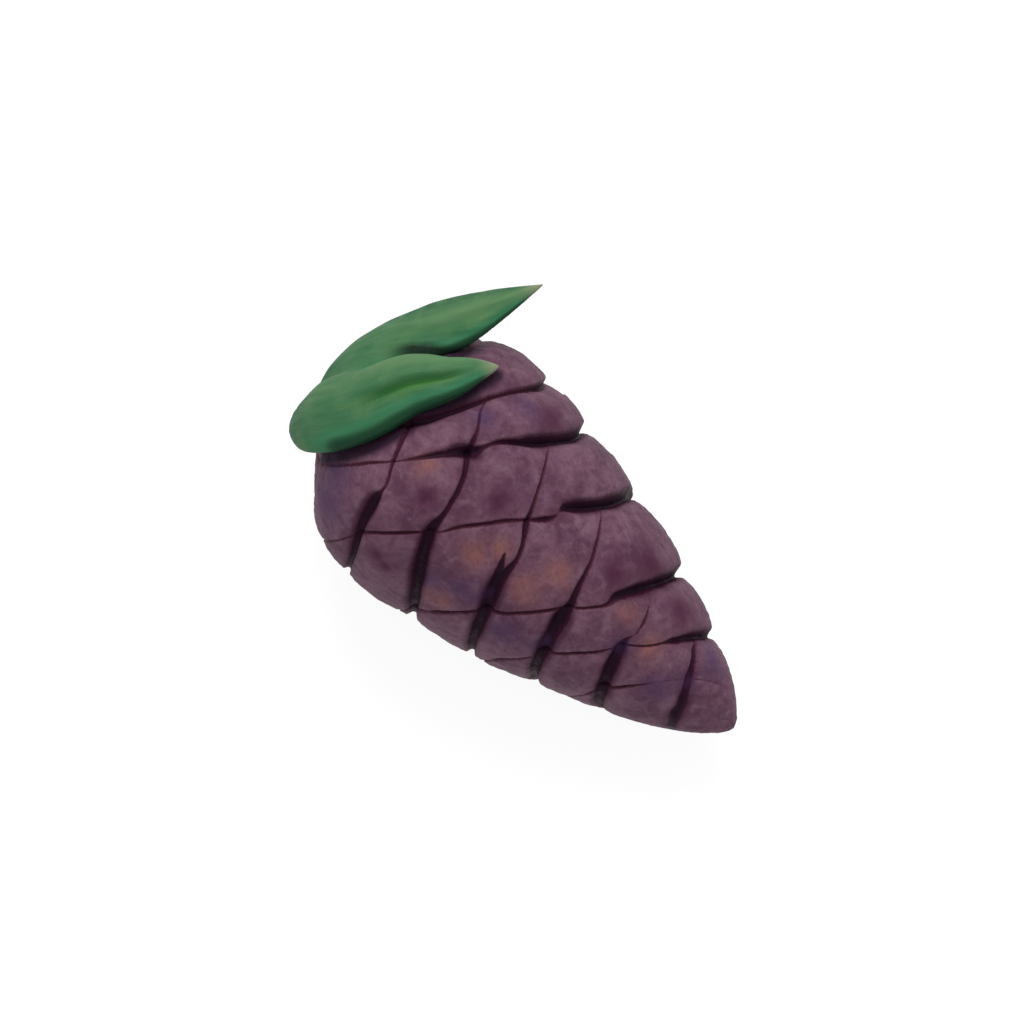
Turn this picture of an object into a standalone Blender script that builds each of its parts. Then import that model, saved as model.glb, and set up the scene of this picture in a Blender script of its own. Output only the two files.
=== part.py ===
"""A pine cone made by hand from modelling clay, with two clay leaves.

One teardrop of purple-brown clay lies on its side, thick end towards -X and point towards +X.
Two families of knife cuts wind round it in opposite directions and leave diamond-shaped
pillows that stand for the scales. Two green leaves are pressed on the thick end.
Metres, +Z up. The origin is on the table, under the middle of the whole object.
"""

import math

import bmesh
import bpy
import numpy as np
from mathutils import Vector

# Body: a turned teardrop, measured along its own axis from the thick end
BODY_LENGTH = 0.0560
WIDEST_AT = 0.0140
WIDEST_RADIUS = 0.0151
TAPER_START = 1.5
TAPER_END = 0.66
FLATTENING = 0.95
TIP_DRIFT = 0.0004

# How the body lies: nose down, resting on a flat spot pressed on its belly
NOSE_DOWN = math.radians(9.0)
PRESSED_FLAT = 0.0006
BELLY_AT = 0.0217

# The middle of the whole object, seen from above, measured from the thick end
MIDDLE_X = 0.0264
MIDDLE_Y = 0.0033

# Knife cuts, as the places where they cross the top line
LEFT_CUTS = (0.0058, 0.0135, 0.0228, 0.0313, 0.0398, 0.0481)
RIGHT_CUTS = (0.0037, 0.0102, 0.0204, 0.0334, 0.0409, 0.0471)

# Turns each family makes round the body, the side where its knife cuts go deepest (+1 is +Y),
# how much it runs straight across the sides, and its swing off an even winding on its own
# side, at places from the thick end to near the tip
LEFT_TURNS = 3
RIGHT_TURNS = -4
LEFT_SIDE = -1
RIGHT_SIDE = 1
LEFT_PINCH = 0.0
RIGHT_PINCH = 0.35
SWING_PLACES = (0.0, 0.015, 0.030, 0.045)
LEFT_SWING = (0.38, 0.18, 0.0, -0.20)
RIGHT_SWING = (-0.75, -0.43, 0.18, 0.0)

# Depth and half-width of a cut where it is deepest and where it is only a line
DEEP_CUT = 0.00110
FINE_CUT = 0.00040
WIDE_LIP = 0.00075
NARROW_LIP = 0.00040
LEFT_PILLOW = 0.00024
RIGHT_PILLOW = 0.00062
PILLOW_ROUNDNESS = 0.7
FLAT_PILLOW = 0.12
HAND_UNEVENNESS = 0.00016

# How far each band lies below the one before it on the right side, where the knife was held
# aslant, over what distance the step runs, how soon a band rises again after it, where the
# step is on the right side and on the far side, its share there, and where the steps begin
BAND_STEP = 0.00080
STEP_RUN = 0.0004
STEP_RECOVERY = 3
STEP_SIDE = (0.2, 0.95)
STEP_FAR_SIDE = (0.0, 0.4)
STEP_BEHIND = 0.35
STEP_FROM = 0.011
STEP_FULL = 0.015

# Where the body is pressed in beside the lower leaf's root, and where it swells a little:
# place along the body, angle in degrees, reach and depth
PRESSED_PLACES = (
    (0.0026, -88.0, 0.0026, 0.00110),
    (0.0034, -101.0, 0.0024, 0.00100),
    (0.0172, -92.0, 0.0042, -0.00035),
    (0.0305, -92.0, 0.0030, -0.00030),
)

# How strong the cuts are on the far side, and how much shallower along both edges
BACK_STRENGTH = 0.6
EDGE_SOFTENING = 0.45
RADIUS_FOR_FULL_DEPTH = 0.009
LEAST_DEPTH = 0.45

# Where the cuts run out: at the pressed belly and at both ends
BELLY_CLEAR = math.radians(15.0)
BELLY_FADE = math.radians(16.0)
END_CLEAR = 0.0015
END_FADE = 0.0050
TIP_CLEAR = 0.0030
TIP_FADE = 0.0045

# Leaves: points along the middle of each one, from its root to its tip
LOWER_SPINE = (
    (-0.0011, -0.0076, 0.0156),
    (0.0002, -0.0050, 0.0212),
    (0.0027, -0.0008, 0.0250),
    (0.0049, 0.0040, 0.0262),
    (0.0080, 0.0080, 0.0262),
    (0.0093, 0.0100, 0.0252),
    (0.0109, 0.0119, 0.0234),
)
LOWER_FACING = (
    (-0.90, -0.45, 0.10),
    (-0.80, -0.30, 0.50),
    (-0.66, 0.00, 0.75),
    (-0.50, 0.18, 0.85),
    (-0.38, 0.42, 0.82),
    (-0.26, 0.56, 0.78),
    (-0.20, 0.62, 0.76),
)
UPPER_SPINE = (
    (-0.0012, -0.0030, 0.0140),
    (-0.0012, 0.0012, 0.0166),
    (0.0004, 0.0056, 0.0186),
    (0.0028, 0.0096, 0.0198),
    (0.0045, 0.0128, 0.0197),
    (0.0063, 0.0168, 0.0188),
    (0.0085, 0.0217, 0.0176),
)
UPPER_FACING = (
    (-0.98, -0.10, 0.15),
    (-0.93, 0.05, 0.30),
    (-0.80, 0.20, 0.55),
    (-0.52, 0.32, 0.80),
    (-0.32, 0.24, 0.92),
    (-0.22, 0.16, 0.96),
    (-0.18, 0.12, 0.97),
)
LOWER_HALF_WIDTH = 0.0044
UPPER_HALF_WIDTH = 0.0041
LEAF_THICKNESS = 0.0024
LEAF_ROOT_BLUNTNESS = 0.50
LOWER_TIP_SHARPNESS = 0.85
UPPER_TIP_SHARPNESS = 1.05
LOWER_HOLD = 0.95
UPPER_HOLD = 0.60
LIFT_OFF = 0.25
RIB_DEPTH = 0.00035
LEAF_GAP = 0.0003

# Fineness of the meshes
BODY_AROUND = 288
BODY_ALONG = 220
BODY_KEPT = 0.082
LEAF_AROUND = 20
LEAF_ALONG = 26

MATERIALS = {
    "cone_clay": ((0.118, 0.058, 0.088, 1.0), 0.55),
    "leaf_clay": ((0.067, 0.170, 0.085, 1.0), 0.50),
}


def clear_scene():
    """Start from an empty scene."""
    for thing in list(bpy.data.objects):
        bpy.data.objects.remove(thing, do_unlink=True)


def new_collection(name):
    """Make a collection in the scene."""
    collection = bpy.data.collections.new(name)
    bpy.context.scene.collection.children.link(collection)
    return collection


def clay(name):
    """A matt, slightly waxy clay of one colour."""
    colour, roughness = MATERIALS[name]
    material = bpy.data.materials.new(name)
    material.use_nodes = True
    shader = material.node_tree.nodes["Principled BSDF"]
    shader.inputs["Base Color"].default_value = colour
    shader.inputs["Roughness"].default_value = roughness
    shader.inputs["Metallic"].default_value = 0.0
    return material


def smooth_step(value, low, high):
    """Rise smoothly from 0 at low to 1 at high."""
    t = np.clip((value - low) / (high - low), 0.0, 1.0)
    return t * t * (3.0 - 2.0 * t)


def smooth_through(x, places, values):
    """A smooth curve through the values at the places, straight beyond both ends."""
    places = np.asarray(places, float)
    values = np.asarray(values, float)
    slopes = np.gradient(values, places)
    inside = np.clip(x, places[0], places[-1])
    k = np.clip(np.searchsorted(places, inside, side="right") - 1, 0, len(places) - 2)
    span = places[k + 1] - places[k]
    t = (inside - places[k]) / span
    start = values[k] * (1.0 + 2.0 * t) * (1.0 - t) ** 2
    end = values[k + 1] * t * t * (3.0 - 2.0 * t)
    leave = slopes[k] * span * t * (1.0 - t) ** 2
    arrive = slopes[k + 1] * span * t * t * (t - 1.0)
    beyond = np.where(x < places[0], slopes[0], slopes[-1]) * (x - inside)
    return start + end + leave + arrive + beyond


def body_radius(u):
    """Radius of the uncut body: an elliptical end, then a long taper."""
    cap = 1.0 - np.clip((WIDEST_AT - u) / WIDEST_AT, 0.0, 1.0) ** 2
    along = np.clip((u - WIDEST_AT) / (BODY_LENGTH - WIDEST_AT), 0.0, 1.0)
    taper = (1.0 - along ** TAPER_START) ** TAPER_END
    return WIDEST_RADIUS * np.where(u < WIDEST_AT, np.sqrt(cap), taper)


def cut_phase(u, angle, family):
    """Count the cuts passed on the way to the tip: it is a whole number on each cut."""
    places, turns, own_side, pinch, swing = family
    count = smooth_through(u, places, np.arange(len(places)))
    sway = smooth_through(u, SWING_PLACES, swing)
    wound = (angle + pinch * np.sin(2.0 * angle)) / math.tau
    side = np.sin(angle)
    return count + turns * wound + sway * side * (1.0 + own_side * side) / 2.0


def cut_pattern(u, angle, family):
    """How far past the nearest cut along the surface, and the place across the band, 0 to 1."""
    small = 1e-5
    phase = cut_phase(u, angle, family)
    along = (cut_phase(u + small, angle, family) - phase) / small
    around = (cut_phase(u, angle + small, family) - phase) / small
    steepness = np.hypot(along, around / np.maximum(body_radius(u), 0.001))
    nearest = phase - np.round(phase)
    return nearest / steepness, phase - np.floor(phase)


def one_family(strength, pillow, pattern):
    """How far the surface sinks for one family of cuts: V grooves between low pillows."""
    past, across = pattern
    depth = FINE_CUT + (DEEP_CUT - FINE_CUT) * strength
    lip = NARROW_LIP + (WIDE_LIP - NARROW_LIP) * strength
    groove = depth * np.exp(-(past / lip) ** 2)
    arch = (4.0 * across * (1.0 - across)) ** PILLOW_ROUNDNESS
    return groove + pillow * (FLAT_PILLOW + (1.0 - FLAT_PILLOW) * strength) * (1.0 - arch)


def step_down(u, angle, pattern):
    """How far a band of the right family lies below the one before it, most just past the cut."""
    past, across = pattern
    over = smooth_step(past, -STEP_RUN, STEP_RUN)
    rising = (1.0 - across) ** STEP_RECOVERY
    step = np.where(past >= 0.0, over * rising, over + (1.0 - over) * rising)
    side = smooth_step(np.sin(angle), *STEP_SIDE)
    behind = STEP_BEHIND * smooth_step(-np.cos(angle), *STEP_FAR_SIDE)
    step = step * smooth_step(u, STEP_FROM, STEP_FULL)
    return BAND_STEP * step * np.maximum(side, behind)


def pressed_in(u, angle):
    """How far the pressed places sink, less how far the swollen ones rise."""
    total = 0.0
    for place, turn, reach, depth in PRESSED_PLACES:
        around = (angle - math.radians(turn)) * body_radius(u)
        distance = np.hypot(u - place, around)
        total = total + depth * np.exp(-(distance / reach) ** 2)
    return total


def cut_strengths(angle):
    """How deep each family cuts, 0 to 1, and how much of the left family is there at all."""
    side = np.sin(angle)
    behind = -np.cos(angle)
    back = BACK_STRENGTH * smooth_step(behind, -0.05, 0.4)
    edge = 1.0 - EDGE_SOFTENING * smooth_step(np.abs(side), 0.88, 1.0)
    left = np.maximum(smooth_step(-side, -0.25, 0.75) * edge, back)
    right = np.maximum(smooth_step(side, -0.10, 0.80) * edge, back)
    left_there = np.maximum(smooth_step(-side, -0.80, -0.35), smooth_step(behind, -0.20, 0.10))
    return left, right, left_there


def relief_share(u, angle):
    """Share of the relief that is left near the belly, the ends and where the body is thin."""
    from_belly = math.pi - np.abs(angle)
    share = smooth_step(from_belly, BELLY_CLEAR, BELLY_CLEAR + BELLY_FADE)
    share = share * smooth_step(u, END_CLEAR, END_CLEAR + END_FADE)
    share = share * smooth_step(BODY_LENGTH - u, TIP_CLEAR, TIP_CLEAR + TIP_FADE)
    return share * np.clip(body_radius(u) / RADIUS_FOR_FULL_DEPTH, LEAST_DEPTH, 1.0)


def sunk_by(u, angle):
    """How far the clay surface lies below the uncut body."""
    left_family = (LEFT_CUTS, LEFT_TURNS, LEFT_SIDE, LEFT_PINCH, LEFT_SWING)
    right_family = (RIGHT_CUTS, RIGHT_TURNS, RIGHT_SIDE, RIGHT_PINCH, RIGHT_SWING)
    left_strength, right_strength, left_there = cut_strengths(angle)
    left = one_family(left_strength, LEFT_PILLOW, cut_pattern(u, angle, left_family))
    right_pattern = cut_pattern(u, angle, right_family)
    right = one_family(right_strength, RIGHT_PILLOW, right_pattern)
    right = right + step_down(u, angle, right_pattern)
    relief = (left * left_there + right) * relief_share(u, angle)
    dents = np.sin(190.0 * u + 2.0 * angle) * np.sin(3.0 * angle - 120.0 * u + 0.8)
    uneven = HAND_UNEVENNESS * (1.0 + dents) * smooth_step(u, 0.0, END_FADE)
    return relief + uneven + pressed_in(u, angle)


def axis_height():
    """Height of the body's axis at the thick end, with the belly pressed flat on the table."""
    belly = float(body_radius(np.array(BELLY_AT))) * FLATTENING
    return BELLY_AT * math.sin(NOSE_DOWN) + belly * math.cos(NOSE_DOWN) - PRESSED_FLAT


def lay_down(along, side, above):
    """Turn places on the body's axis into places on the table, seen from the thick end."""
    x = along * math.cos(NOSE_DOWN) + above * math.sin(NOSE_DOWN)
    z = axis_height() - along * math.sin(NOSE_DOWN) + above * math.cos(NOSE_DOWN)
    return np.stack([x, side, z], axis=-1)


def body_surface(u, angle):
    """Places on the clay surface. The angle is 0 on top and grows towards +Y."""
    small = 1e-5
    radius = body_radius(u)
    slope = (body_radius(u + small) - body_radius(u - small)) / (2.0 * small)
    slope = np.clip(slope, -4.0, 4.0)
    lean = np.hypot(1.0, slope)
    sunk = sunk_by(u, angle)
    along = u + sunk * slope / lean
    reach = radius - sunk / lean
    drift = TIP_DRIFT * smooth_step(u, WIDEST_AT, BODY_LENGTH)
    side = reach * np.sin(angle) + drift
    above = reach * np.cos(angle) * FLATTENING
    return lay_down(along, side, above)


def shaped_sphere(name, around, along, shape):
    """A sphere whose rings and meridians are moved onto another closed surface."""
    mesh = bpy.data.meshes.new(name)
    work = bmesh.new()
    bmesh.ops.create_uvsphere(work, u_segments=around, v_segments=along, radius=1.0)
    places = np.array([vertex.co for vertex in work.verts])
    share = np.clip((1.0 - places[:, 2]) / 2.0, 0.0, 1.0)
    turn = np.arctan2(places[:, 1], places[:, 0])
    moved = shape(share, turn)
    for vertex, place in zip(work.verts, moved):
        vertex.co = Vector(place) - Vector((MIDDLE_X, MIDDLE_Y, 0.0))
    if work.calc_volume(signed=True) < 0.0:
        bmesh.ops.reverse_faces(work, faces=work.faces)
    work.to_mesh(mesh)
    work.free()
    mesh.shade_smooth()
    return bpy.data.objects.new(name, mesh)


def floor_cutter(collection):
    """A block under the table's surface that presses the belly flat."""
    depth = 0.01
    size = 0.1
    mesh = bpy.data.meshes.new("floor_cutter")
    work = bmesh.new()
    bmesh.ops.create_cube(work, size=1.0)
    for vertex in work.verts:
        vertex.co = (vertex.co.x * size, vertex.co.y * size, (vertex.co.z - 0.5) * depth)
    work.to_mesh(mesh)
    work.free()
    cutter = bpy.data.objects.new("floor_cutter", mesh)
    cutter.hide_render = True
    cutter.display_type = "WIRE"
    collection.objects.link(cutter)
    return cutter


def cone_body(collection, cutter):
    """The scored teardrop of purple-brown clay."""
    body = shaped_sphere(
        "cone_body",
        BODY_AROUND,
        BODY_ALONG,
        lambda share, turn: body_surface(share * BODY_LENGTH, turn),
    )
    body.data.materials.append(clay("cone_clay"))
    collection.objects.link(body)
    fewer = body.modifiers.new("fewer_faces", "DECIMATE")
    fewer.ratio = BODY_KEPT
    flat = body.modifiers.new("flat_belly", "BOOLEAN")
    flat.operation = "DIFFERENCE"
    flat.solver = "EXACT"
    flat.object = cutter
    return body


def fit_to_body(points, pressed):
    """Keep points just outside the clay body, and pull the pressed ones down onto it."""
    level = points[:, 2] - axis_height()
    along = points[:, 0] * math.cos(NOSE_DOWN) - level * math.sin(NOSE_DOWN)
    above = points[:, 0] * math.sin(NOSE_DOWN) + level * math.cos(NOSE_DOWN)
    side = points[:, 1]
    ahead = np.minimum(along - WIDEST_AT, 0.0) / WIDEST_AT
    radius = body_radius(np.maximum(along, WIDEST_AT))
    reach = np.hypot(side, above / FLATTENING) / radius
    inside = np.hypot(ahead, reach)
    wanted = 1.0 + LEAF_GAP / (WIDEST_RADIUS * FLATTENING)
    onto = wanted / np.maximum(inside, 1e-6)
    grow = np.maximum(onto, 1.0) * (1.0 - pressed) + onto * pressed
    along = np.where(ahead < 0.0, WIDEST_AT + (along - WIDEST_AT) * grow, along)
    return lay_down(along, side * grow, above * grow)


def leaf_frame(spine, facing, share):
    """Place, side and facing directions at each share of a leaf's length."""
    spine = np.array(spine)
    steps = np.linalg.norm(np.diff(spine, axis=0), axis=1)
    places = np.concatenate([[0.0], np.cumsum(steps)]) / steps.sum()
    small = 1e-3

    def along(values, where):
        values = np.array(values)
        return np.stack([smooth_through(where, places, values[:, i]) for i in range(3)], axis=-1)

    middle = along(spine, share)
    ahead = along(spine, share + small) - along(spine, share - small)
    ahead = ahead / np.linalg.norm(ahead, axis=1, keepdims=True)
    up = along(facing, share)
    up = up - ahead * np.sum(up * ahead, axis=1, keepdims=True)
    up = up / np.linalg.norm(up, axis=1, keepdims=True)
    return middle, np.cross(ahead, up), up


def leaf_surface(spine, facing, half_width, sharpness, hold, share, turn):
    """A thick clay leaf: blunt root, pointed tip, creased along its middle, pressed on up to hold."""
    middle, side, up = leaf_frame(spine, facing, share)
    outline = share ** LEAF_ROOT_BLUNTNESS * (1.0 - share) ** sharpness
    peak = LEAF_ROOT_BLUNTNESS / (LEAF_ROOT_BLUNTNESS + sharpness)
    widest = peak ** LEAF_ROOT_BLUNTNESS * (1.0 - peak) ** sharpness
    width = half_width * outline / widest
    across = np.cos(turn)
    thick = 0.5 * LEAF_THICKNESS * np.sqrt(np.clip(outline / widest, 0.0, 1.0))
    height = thick * np.sin(turn)
    crease = RIB_DEPTH * np.exp(-(across / 0.2) ** 2) * smooth_step(share, 0.2, 0.5)
    height = height - crease * smooth_step(np.sin(turn), 0.2, 0.8) * (1.0 - share)
    bend = (across * width) ** 2 / (2.0 * WIDEST_RADIUS) * (1.0 - smooth_step(share, 0.5, 0.9))
    points = middle + side * (across * width)[:, None] + up * (height - bend)[:, None]
    pressed = smooth_step(-np.sin(turn), 0.1, 0.5) * (1.0 - smooth_step(share, hold - LIFT_OFF, hold))
    return fit_to_body(points, pressed)


def leaf(collection, name, *form):
    """One green leaf pressed on the thick end."""
    piece = shaped_sphere(
        name,
        LEAF_AROUND,
        LEAF_ALONG,
        lambda share, turn: leaf_surface(*form, share, turn),
    )
    piece.data.materials.append(clay("leaf_clay"))
    collection.objects.link(piece)
    return piece


def build():
    """Model the pine cone."""
    clear_scene()
    cone = new_collection("pine_cone")
    cutters = new_collection("cutters")
    cone_body(cone, floor_cutter(cutters))
    lower = (LOWER_SPINE, LOWER_FACING, LOWER_HALF_WIDTH, LOWER_TIP_SHARPNESS, LOWER_HOLD)
    upper = (UPPER_SPINE, UPPER_FACING, UPPER_HALF_WIDTH, UPPER_TIP_SHARPNESS, UPPER_HOLD)
    leaf(cone, "leaf_lower", *lower)
    leaf(cone, "leaf_upper", *upper)


build()
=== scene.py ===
import math

import bmesh
import bpy
import numpy as np
from mathutils import Matrix
from mathutils import Vector
from mathutils.bvhtree import BVHTree


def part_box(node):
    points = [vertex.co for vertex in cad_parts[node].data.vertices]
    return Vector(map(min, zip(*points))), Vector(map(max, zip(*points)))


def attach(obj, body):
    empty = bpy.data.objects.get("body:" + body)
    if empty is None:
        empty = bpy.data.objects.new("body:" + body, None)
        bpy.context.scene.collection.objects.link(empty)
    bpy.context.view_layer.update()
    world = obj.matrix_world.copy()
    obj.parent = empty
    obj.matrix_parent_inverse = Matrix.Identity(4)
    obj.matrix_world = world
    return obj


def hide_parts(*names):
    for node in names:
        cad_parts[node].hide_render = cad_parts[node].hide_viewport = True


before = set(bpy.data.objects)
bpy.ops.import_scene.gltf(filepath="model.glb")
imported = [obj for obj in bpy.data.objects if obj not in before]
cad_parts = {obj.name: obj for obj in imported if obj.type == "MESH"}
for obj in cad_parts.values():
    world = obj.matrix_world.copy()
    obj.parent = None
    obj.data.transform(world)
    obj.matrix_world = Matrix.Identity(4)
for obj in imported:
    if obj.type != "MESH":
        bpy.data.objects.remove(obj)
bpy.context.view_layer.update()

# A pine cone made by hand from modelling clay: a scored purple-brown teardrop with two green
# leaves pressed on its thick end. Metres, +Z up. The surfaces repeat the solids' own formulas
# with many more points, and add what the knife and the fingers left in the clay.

# Body, measured along its own axis from the thick end
BODY_LENGTH = 0.0560
WIDEST_AT = 0.0140
WIDEST_RADIUS = 0.0151
TAPER_START = 1.5
TAPER_END = 0.66
FLATTENING = 0.95
TIP_DRIFT = 0.0004
NOSE_DOWN = math.radians(9.0)
PRESSED_FLAT = 0.0006
BELLY_AT = 0.0217
MIDDLE_X = 0.0264
MIDDLE_Y = 0.0033

# Knife cuts: where they cross the top line, their turns round the body, the side where they
# go deepest, how much they run straight across the sides, and their swing
LEFT_CUTS = (0.0058, 0.0135, 0.0228, 0.0313, 0.0398, 0.0481)
RIGHT_CUTS = (0.0037, 0.0102, 0.0204, 0.0334, 0.0409, 0.0471)
SWING_PLACES = (0.0, 0.015, 0.030, 0.045)
LEFT_FAMILY = (LEFT_CUTS, 3, -1, 0.0, (0.38, 0.18, 0.0, -0.20))
RIGHT_FAMILY = (RIGHT_CUTS, -4, 1, 0.35, (-0.75, -0.43, 0.18, 0.0))

# Each cut one by one, in order from the thick end: angle round the body in degrees, half the
# width of the slit in millimetres, and how far it strays towards the tip, in bands
LEFT_HAND = (
    (
        (-90, 0.35, 0.08), (-68, 0.42, 0.08), (-49, 0.56, -0.01), (-39, 0.62, 0.00),
        (-31, 0.55, 0.04), (-27, 0.12, 0.09), (-22, 0.12, 0.13), (-15, 0.18, 0.06),
        (0, 0.24, 0.07), (12, 0.20, 0.05),
    ),
    (
        (-90, 0.45, 0.10), (-60, 0.66, 0.09), (-40, 0.78, 0.03), (-28, 0.70, -0.01),
        (-21, 0.50, -0.01), (-14, 0.27, 0.06), (-3, 0.25, 0.10), (4, 0.28, 0.09),
        (10, 0.36, 0.02), (15, 0.32, 0.01), (21, 0.15, 0.01), (30, 0.13, -0.07),
        (40, 0.06, -0.03),
    ),
    (
        (-90, 0.40, 0.04), (-56, 0.60, 0.04), (-35, 0.74, 0.03), (-23, 0.82, 0.01),
        (-16, 0.42, 0.06), (-8, 0.20, 0.12), (-1, 0.24, 0.10), (5, 0.38, 0.04),
        (11, 0.21, 0.03), (22, 0.18, 0.00), (37, 0.16, -0.03), (48, 0.00, -0.02),
    ),
    (
        (-90, 0.40, -0.01), (-57, 0.56, -0.01), (-30, 0.76, -0.01), (-19, 0.84, 0.01),
        (-9, 0.48, 0.05), (2, 0.26, 0.03), (16, 0.20, 0.05), (36, 0.14, -0.02),
        (48, 0.00, -0.02),
    ),
    (
        (-90, 0.40, -0.04), (-51, 0.62, -0.04), (-31, 0.70, -0.07), (-12, 0.66, -0.07),
        (-4, 0.26, -0.06), (0, 0.05, -0.03), (4, 0.06, 0.03), (12, 0.15, 0.07), (28, 0.00, 0.05),
    ),
    (
        (-90, 0.42, 0.02), (-35, 0.56, 0.02), (-21, 0.52, 0.05), (7, 0.42, 0.03),
        (29, 0.32, 0.01), (47, 0.18, 0.09), (60, 0.00, 0.09),
    ),
)
RIGHT_HAND = (
    (
        (-8, 0.08, 0.20), (1, 0.30, 0.22), (11, 0.50, 0.22), (21, 0.36, 0.19),
        (32, 0.30, 0.16), (39, 0.24, 0.14), (52, 0.20, 0.16), (69, 0.28, 0.21), (90, 0.30, 0.20),
    ),
    (
        (-90, 0.11, -0.19), (-23, 0.13, -0.15), (-9, 0.08, -0.07), (-5, 0.16, -0.06),
        (0, 0.24, -0.05), (4, 0.36, -0.04), (8, 0.52, -0.03), (11, 0.84, -0.01),
        (13, 0.84, 0.00), (16, 0.34, -0.03), (19, 0.14, -0.05), (22, 0.16, -0.08),
        (26, 0.32, -0.10), (30, 0.38, -0.07), (35, 0.56, -0.04), (44, 0.54, -0.02),
        (62, 0.50, 0.06),
    ),
    (
        (-90, 0.11, -0.11), (-53, 0.10, -0.11), (-47, 0.20, -0.11), (-37, 0.22, -0.03),
        (-28, 0.20, 0.03), (-22, 0.08, 0.08), (-13, 0.20, 0.02), (4, 0.22, -0.01),
        (8, 0.10, 0.00), (11, 0.25, 0.01), (17, 0.30, -0.02), (19, 0.00, -0.03),
        (22.5, 0.00, -0.11), (25, 0.48, -0.12), (32, 0.62, -0.12), (60, 0.58, -0.08),
        (90, 0.50, -0.05),
    ),
    (
        (-90, 0.15, 0.03), (-70, 0.20, 0.03), (-54, 0.25, 0.06), (-36, 0.23, 0.07),
        (-12, 0.18, 0.05), (-6, 0.17, 0.10), (4, 0.17, 0.15), (8, 0.26, 0.10),
        (12, 0.50, 0.04), (27, 0.60, 0.03), (52, 0.55, 0.02), (90, 0.50, 0.02),
    ),
    (
        (-90, 0.10, -0.25), (-63, 0.20, -0.28), (-54, 0.18, -0.24), (-48, 0.06, -0.23),
        (-40, 0.22, -0.23), (-31, 0.22, -0.15), (-21, 0.20, -0.03), (-15, 0.08, -0.03),
        (-7, 0.12, -0.03), (3, 0.12, 0.09), (14, 0.12, 0.09), (20, 0.36, 0.09),
        (49, 0.48, 0.05), (90, 0.40, 0.05),
    ),
    (
        (-90, 0.10, -0.11), (-60, 0.10, -0.11), (-40, 0.20, -0.10), (-31, 0.22, -0.07),
        (-24, 0.14, -0.04), (-17, 0.03, -0.03), (40, 0.03, 0.02), (90, 0.20, 0.00),
    ),
)

# Half the width of every slit on the unseen back, in millimetres, and how far the clay faces
# down where that width takes over
BACK_HALF_WIDTH = 0.34
BACK_WIDTH_FROM = (-0.05, 0.35)

# How far the corners of the listed rows are rounded off, in degrees, and how unsteady the
# knife was: share of the width, how often it comes and goes round the body, and how much that
# shifts from one cut to the next
CORNER_ROUNDING = 2.2
ROUNDING_SAMPLES = 5
KNIFE_WAVER = 0.06
WAVER_COUNT = 17.0
WAVER_SHIFT = 2.3

# A short crack beside the third cut: place along the body in millimetres, angle in degrees
# and half-width in millimetres at both ends
SHORT_CUTS = (
    ((22.8, -8.6, 0.05), (24.4, -21.0, 0.62)),
)

# Soft dents from the fingers and the flat of the knife: place, angle, half-length and
# half-width in millimetres, slant in degrees, depth in millimetres
SOFT_DENTS = (
    (18.6, 5.0, 2.3, 0.70, -40.0, 0.34),
    (12.5, -13.7, 1.3, 0.80, 30.0, 0.24),
    (13.6, -50.5, 1.1, 0.55, -30.0, 0.20),
    (15.2, -52.5, 1.0, 0.50, -30.0, 0.18),
    (36.5, 38.0, 2.0, 1.20, 60.0, 0.12),
    (25.5, 47.0, 2.0, 1.20, 50.0, 0.12),
)

# Stains in the clay: place in millimetres, angle in degrees and reach in millimetres
WARM_STAINS = (
    (28.6, 0.0, 1.7), (20.6, -17.5, 1.7), (22.2, -9.0, 1.3), (21.6, -50.0, 1.5),
    (42.0, 2.0, 1.6), (27.3, -16.0, 1.8), (10.2, -4.0, 1.3), (37.5, 9.0, 1.2),
)
VIOLET_STAINS = (
    (19.3, -41.5, 1.3), (22.3, -36.0, 1.3), (24.6, -33.0, 1.3), (29.0, -42.0, 1.8),
    (39.8, -10.0, 1.4), (45.7, -17.0, 1.6), (47.8, 4.0, 1.2), (4.5, -48.0, 2.2),
    (11.5, 28.0, 1.2), (14.8, 47.0, 1.5), (6.2, -62.0, 2.6), (48.7, 43.0, 1.8),
    (33.0, -38.0, 1.6),
)
# Magenta stains; those on the soft dents are partly painted shade in the dents
MAGENTA_STAINS_AND_DENT_SHADE = (
    (18.6, 5.0, 1.8), (12.5, -13.7, 1.5), (13.6, -50.5, 1.3), (15.2, -52.5, 1.2),
    (36.0, 40.0, 2.2), (42.0, 40.0, 2.0), (33.5, 20.0, 1.6), (17.5, 52.0, 2.0),
)

# Depths of the relief, as in the solids
LEFT_PILLOW = 0.00024
RIGHT_PILLOW = 0.00062
PILLOW_ROUNDNESS = 0.7
FLAT_PILLOW = 0.12
HAND_UNEVENNESS = 0.00016
BAND_STEP = 0.00080
STEP_RUN = 0.0004
STEP_BEHIND = 0.35
STEP_FROM = 0.011
STEP_FULL = 0.015
STEP_RECOVERY = 3
STEP_SIDE = (0.2, 0.95)
STEP_FAR_SIDE = (0.0, 0.4)
PRESSED_PLACES = (
    (0.0026, -88.0, 0.0026, 0.00110),
    (0.0034, -101.0, 0.0024, 0.00100),
    (0.0172, -92.0, 0.0042, -0.00035),
    (0.0305, -92.0, 0.0030, -0.00030),
)
BACK_STRENGTH = 0.6
EDGE_SOFTENING = 0.45
RADIUS_FOR_FULL_DEPTH = 0.009
LEAST_DEPTH = 0.45
BELLY_CLEAR = math.radians(15.0)
BELLY_FADE = math.radians(16.0)
END_CLEAR = 0.0015
END_FADE = 0.0050
TIP_CLEAR = 0.0030
TIP_FADE = 0.0045

# Where the cuts deepen or fade round the body: how far the clay faces down for the back, and
# how far it faces to a side for the rest
BACK_FROM = (-0.05, 0.4)
EDGE_FROM = (0.88, 1.0)
LEFT_DEEPENS = (-0.25, 0.75)
RIGHT_DEEPENS = (-0.10, 0.80)
LEFT_APPEARS = (-0.80, -0.35)
LEFT_BACK_FROM = (-0.20, 0.10)
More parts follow.
